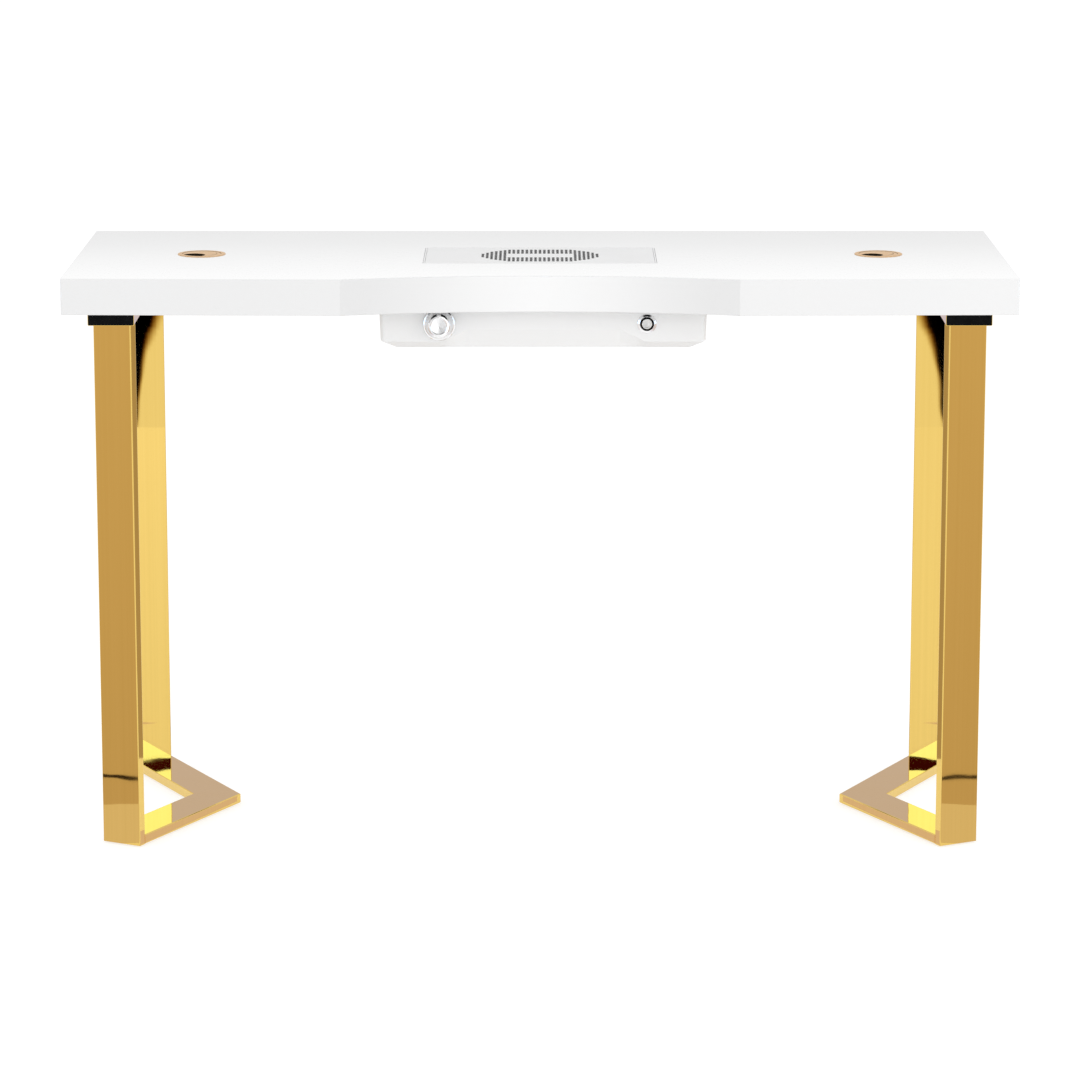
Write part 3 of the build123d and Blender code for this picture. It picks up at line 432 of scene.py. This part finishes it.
ft.links.new(clear.outputs[0], mix.inputs[2])
ft.links.new(mix.outputs[0], out.inputs["Surface"])
fm.cycles.emission_sampling = "NONE"
floor.data.materials.append(fm)

# soft studio surround: white paper to the eye, even light for matt surfaces, a white room for reflections
world = bpy.data.worlds.new("studio")
scene.world = world
world.use_nodes = True
wt = world.node_tree
wo = next(n for n in wt.nodes if n.type == "OUTPUT_WORLD")
bg = next(n for n in wt.nodes if n.type == "BACKGROUND")
lp = wt.nodes.new("ShaderNodeLightPath")


def ambience(color, strength):
    n = wt.nodes.new("ShaderNodeBackground")
    n.inputs["Color"].default_value = (*color, 1)
    n.inputs["Strength"].default_value = strength
    return n


def pick(fac, first, second):
    n = wt.nodes.new("ShaderNodeMixShader")
    wt.links.new(fac, n.inputs[0])
    wt.links.new(first.outputs[0], n.inputs[1])
    wt.links.new(second.outputs[0], n.inputs[2])
    return n


bg.inputs["Color"].default_value = (1.0, 1.0, 1.0, 1)
bg.inputs["Strength"].default_value = WORLD_DIFFUSE
shine = ambience((1.0, 0.995, 0.99), WORLD_GLOSS)
paper = ambience((1.0, 1.0, 1.0), 1.06)
top = pick(lp.outputs["Is Camera Ray"], pick(lp.outputs["Is Glossy Ray"], bg, shine), paper)
wt.links.new(top.outputs[0], wo.inputs["Surface"])


def softbox(name, loc, target, size, power, glossy=False):
    ld = bpy.data.lights.new(name, "AREA")
    ld.shape = "RECTANGLE"
    ld.size, ld.size_y = size
    ld.energy = power
    ob = bpy.data.objects.new(name, ld)
    scene.collection.objects.link(ob)
    ob.location = loc
    ob.rotation_mode = "QUATERNION"
    ob.rotation_quaternion = (Vector(target) - Vector(loc)).to_track_quat("-Z", "Y")
    ob.visible_glossy = glossy
    ob.visible_camera = False
    return ob


softbox("overhead_front", (0.15, -1.1, 1.75), (0.1, -0.15, 0.74), (1.8, 0.5), 0.8)
softbox("front_right", (1.8, -1.7, 1.15), (0.3, -0.2, 0.7), (0.8, 0.8), 5.5)
softbox("front_fill", (0.0, -4.5, 1.5), (0.0, -0.2, 0.6), (2.5, 1.5), 17)


def card(name, pts, color, strength=1.0, fade=None, faces=None, tints=None):
    """A studio board or flag that only shows in mirror surfaces. fade is (start, end, stops)."""
    ob = new_mesh(name, pts, faces or [tuple(range(len(pts)))])
    m = bpy.data.materials.new(name)
    m.use_nodes = True
    t = m.node_tree
    for n in list(t.nodes):
        if n.type == "BSDF_PRINCIPLED":
            t.nodes.remove(n)
    e = t.nodes.new("ShaderNodeEmission")
    e.inputs["Color"].default_value = (*color, 1)
    e.inputs["Strength"].default_value = strength
    if fade:
        p0, p1, stops = Vector(fade[0]), Vector(fade[1]), fade[2]
        d = p1 - p0
        tc = t.nodes.new("ShaderNodeTexCoord")
        sub = t.nodes.new("ShaderNodeVectorMath")
        sub.operation = "SUBTRACT"
        sub.inputs[1].default_value = p0
        t.links.new(tc.outputs["Object"], sub.inputs[0])
        dot = t.nodes.new("ShaderNodeVectorMath")
        dot.operation = "DOT_PRODUCT"
        dot.inputs[1].default_value = d / d.length_squared
        t.links.new(sub.outputs[0], dot.inputs[0])
        r = t.nodes.new("ShaderNodeValToRGB")
        el = r.color_ramp.elements
        el[0].position, el[0].color = stops[0][0], (*stops[0][1], 1)
        el[1].position, el[1].color = stops[-1][0], (*stops[-1][1], 1)
        for p, c in stops[1:-1]:
            el.new(p).color = (*c, 1)
        t.links.new(dot.outputs["Value"], r.inputs["Fac"])
        t.links.new(r.outputs["Color"], e.inputs["Color"])
    if tints:
        ca = ob.data.color_attributes.new("tint", "FLOAT_COLOR", "POINT")
        for i, c in enumerate(tints):
            ca.data[i].color = (*c, 1)
        at = t.nodes.new("ShaderNodeAttribute")
        at.attribute_name = "tint"
        t.links.new(at.outputs["Color"], e.inputs["Color"])
    o = next(n for n in t.nodes if n.type == "OUTPUT_MATERIAL")
    t.links.new(e.outputs[0], o.inputs["Surface"])
    m.cycles.emission_sampling = "NONE"
    ob.data.materials.append(m)
    ob.visible_camera = False
    ob.visible_diffuse = False
    ob.visible_shadow = False
    ob.visible_transmission = False
    ob.visible_volume_scatter = False
    return ob


def upright(name, y, x0, x1, z0, z1, color, strength=1.0, fade=None):
    return card(name, [(x0, y, z0), (x1, y, z0), (x1, y, z1), (x0, y, z1)], color, strength, fade)


grey = lambda v: (v, v, v)
# behind the table: a low wall that the base plates mirror, and a graded board just behind the top
upright("back_wall", 3.2, -3.5, 3.5, 0.0, 1.7, (0.66, 0.60, 0.72))
upright("top_board", 0.75, -1.6, 1.6, 0.755, 1.15, grey(1.0), TOP_GAIN,
        ((0, 0, 0.80), (0, 0, 0.885), [(0.0, grey(0.548)), (0.3, grey(0.568)), (0.62, grey(0.645)), (1.0, grey(0.722))]))
# in front: a narrow graded glow that the concave edge gathers
upright("edge_glow", -1.22, -0.275, 0.275, 0.36, 0.80, grey(1.0), GLOW,
        ((-0.275, 0, 0), (0.275, 0, 0),
         [(0.0, grey(0.02)), (0.10, grey(0.10)), (0.22, grey(0.34)), (0.36, grey(0.74)), (0.5, grey(1.0)),
          (0.64, grey(0.74)), (0.78, grey(0.34)), (0.90, grey(0.10)), (1.0, grey(0.02))]))

CAM = Vector(cam.location)
PITCH = math.radians(11.51)
FOCAL = 145.7 / 36.0 * 1080.0


def pixel_ray(px, py):
    # direction through a point of the 1080 by 1080 frame
    x, y = (px - 540.0) / FOCAL, (540.0 - py) / FOCAL
    right, up = Vector((1, 0, 0)), Vector((0, math.sin(PITCH), math.cos(PITCH)))
    ahead = Vector((0, math.cos(PITCH), -math.sin(PITCH)))
    return (ahead + right * x + up * y).normalized()


ARM = math.radians(27.9)
SA, CA = math.sin(ARM), math.cos(ARM)

for s, side in ((-1, "left"), (1, "right")):
    # boards on the floor beside the front legs: d runs away from the leg, w across it
    o = Vector((s * 0.54, -0.205, 0.0))
    d = Vector((s * 0.878, -0.478, 0.0)).normalized()
    w = Vector((s * 0.478, 0.878, 0.0)).normalized()

    def band(name, d0, d1, w0, w1, z, color, wavy=0.0, fade=None, slant=0.0, o=o, d=d, w=w, side=side):
        n = 24
        pts = []
        for dist, width, ph in ((d0, w0, 0.0), (d1, w1, 0.7)):
            row = []
            for i in range(n + 1):
                t = width[0] + (width[1] - width[0]) * i / n
                sway = wavy * (math.sin(t * 75.0 + ph) + 0.6 * math.sin(t * 190.0 + 2 * ph))
                p = o + d * (dist + sway + slant * t) + w * t
                row.append((p.x, p.y, z))
            pts += row if not pts else row[::-1]
        return card(name + "_" + side, pts, color, 1.0, fade)

    band("near_board", 0.0, 0.195, (-0.30, 0.20), (-0.30, 0.22), 0.0012, (0.84, 0.76, 0.82))
    band("mid_board", 0.195, 0.34, (-0.30, 0.22), (-0.32, 0.25), 0.0012, (0.645, 0.52, 0.46))
    band("board_gap", 0.327, 0.346, (-0.10, 0.10), (-0.10, 0.10), 0.0016, (0.01, 0.003, 0.001), 0.0030, None, 0.36)
    far0, far1 = o + d * 0.34, o + d * 5.0
    band("far_board", 0.34, 9.0, (-0.32, 0.25), (-1.1, 1.1), 0.0012, (0.66, 0.55, 0.48), 0.0,
         (far0, far1, [(0.0, (0.655, 0.53, 0.46)), (0.3, (0.69, 0.56, 0.485)), (1.0, (0.74, 0.61, 0.53))]))
    # darker floor behind the table, mirrored by the inner narrow faces of the legs
    o2 = Vector((s * 0.514, -0.21, 0.0))
    d2 = Vector((-s * 0.876, 0.482, 0.0)).normalized()
    w2 = Vector((s * 0.482, 0.876, 0.0)).normalized()
    band("inner_board", 0.46, 9.0, (-0.05, 0.05), (-0.6, 0.6), 0.0014, (0.50, 0.41, 0.35), 0.0, None, 0.0, o2, d2, w2)
    # and right beside the base plates
    pts = [(s * 0.517, -0.226), (s * 0.388, 0.006), (s * 0.330, 0.040), (s * 0.452, -0.182)]
    card("plate_board_" + side, [(x, y, 0.001) for x, y in pts], (0.84, 0.73, 1.0))
    # a bright softbox low in front, only met by rays that have bounced between base and rear leg
    c = Vector((-s * 1.68, -1.68, 0.0))
    across = Vector((s * 0.616, -0.743, 0.0)).normalized()
    q = [c - across * 0.42, c + across * 0.42]
    card("low_softbox_" + side, [(q[0].x, q[0].y, 0.45), (q[1].x, q[1].y, 0.45), (q[1].x, q[1].y, 1.45), (q[0].x, q[0].y, 1.45)],
         (0.44, 0.68, 1.0), 3.6)
    # a flag lying low in the frame, dark from below only, mirrored by the rear base plate at its leg
    a = Vector((s * 0.53, 0.195, 0.100))
    h = Vector((-s * 0.770, -0.638, 0.0))
    k = Vector((s * 0.884, -0.468, 0.0))
    q = [a + h * 0.245 - k * 0.06, a + h * 0.245 + k * 0.06, a + h * 0.322 + k * 0.06, a + h * 0.322 - k * 0.06]
    if s < 0:
        q = q[::-1]
    low = card("low_flag_" + side, [tuple(v) for v in q], (0.05, 0.004, 0.001))
    lt = low.data.materials[0].node_tree
    lo_out = next(n for n in lt.nodes if n.type == "OUTPUT_MATERIAL")
    lo_em = next(n for n in lt.nodes if n.type == "EMISSION")
    lg, lm, lc = (lt.nodes.new(x) for x in ("ShaderNodeNewGeometry", "ShaderNodeMixShader", "ShaderNodeBsdfTransparent"))
    lt.links.new(lg.outputs["Backfacing"], lm.inputs[0])
    down = low.data.polygons[0].normal.z < 0
    lt.links.new(lo_em.outputs[0], lm.inputs[1 if down else 2])
    lt.links.new(lc.outputs[0], lm.inputs[2 if down else 1])
    lt.links.new(lm.outputs[0], lo_out.inputs["Surface"])
    # dark flag mirrored at the head of the rear leg, soft along its slanting edge
    n = Vector((-s * SA, -CA, 0.0))
    rear = nodes[side + "_rear_leg"].data
    face = max((p for p in rear.polygons if p.normal.dot(n) > 0.999), key=lambda p: p.area)
    on = Vector(rear.vertices[face.vertices[0]].co)
    edge = [(300, 152.5), (316, 151.5), (328, 149.0), (334, 146.0), (348, 143.5), (365, 141.0), (385, 138.5), (425, 135.5)]
    soft = [(300, 18.0), (330, 12.0), (350, 7.0), (400, 4.0), (425, 3.0)]

    def read(tab, y):
        for (y0, v0), (y1, v1) in zip(tab, tab[1:]):
            if y <= y1:
                return v0 + (v1 - v0) * (y - y0) / (y1 - y0)
        return tab[-1][1]

    nx, ny = 40, 26
    grid, tints, faces = [], [], []
    for j in range(ny + 1):
        py = 303 + (428 - 303) * j / ny
        for i in range(nx + 1):
            px = 128 + (178 - 128) * i / nx
            ray = pixel_ray(px if s < 0 else 1079.6 - px, py)
            hit = CAM + ray * ((on - CAM).dot(n) / ray.dot(n))
            r = ray - n * (2 * ray.dot(n))
            p = hit + r * 0.35
            grid.append(p)
            f = (px - read(edge, py)) / read(soft, py)
            f = min(1.0, max(0.0, f))
            f = f * f * (3 - 2 * f)
            tints.append((1.07 * f ** 0.9, 1.07 * f ** 1.25, 1.07 * f ** 2.0))
            if i < nx and j < ny:
                k = j * (nx + 1) + i
                faces.append((k, k + 1, k + nx + 2, k + nx + 1))
    card("rear_flag_" + side, grid, (1, 1, 1), 1.0, None, faces, tints)

# small dark flags close under the overhang, where its underside lies in shade: a painted dark reflection of that
# shade in the upper rims of the knob and of the button
for name, x0, x1, y0, y1, z in (
    ("knob_flag_a", KNOB.x - 0.030, KNOB.x - 0.005, -0.197, -0.1495, 0.6932),
    ("knob_flag_b", KNOB.x + 0.004, KNOB.x + 0.034, -0.197, -0.1495, 0.6932),
    ("button_flag", BTN.x - 0.012, BTN.x + 0.012, -0.199, -0.1510, 0.6915),
):
    card(name, [(x0, y0, z), (x1, y0, z), (x1, y1, z), (x0, y1, z)], (0.01, 0.01, 0.01))
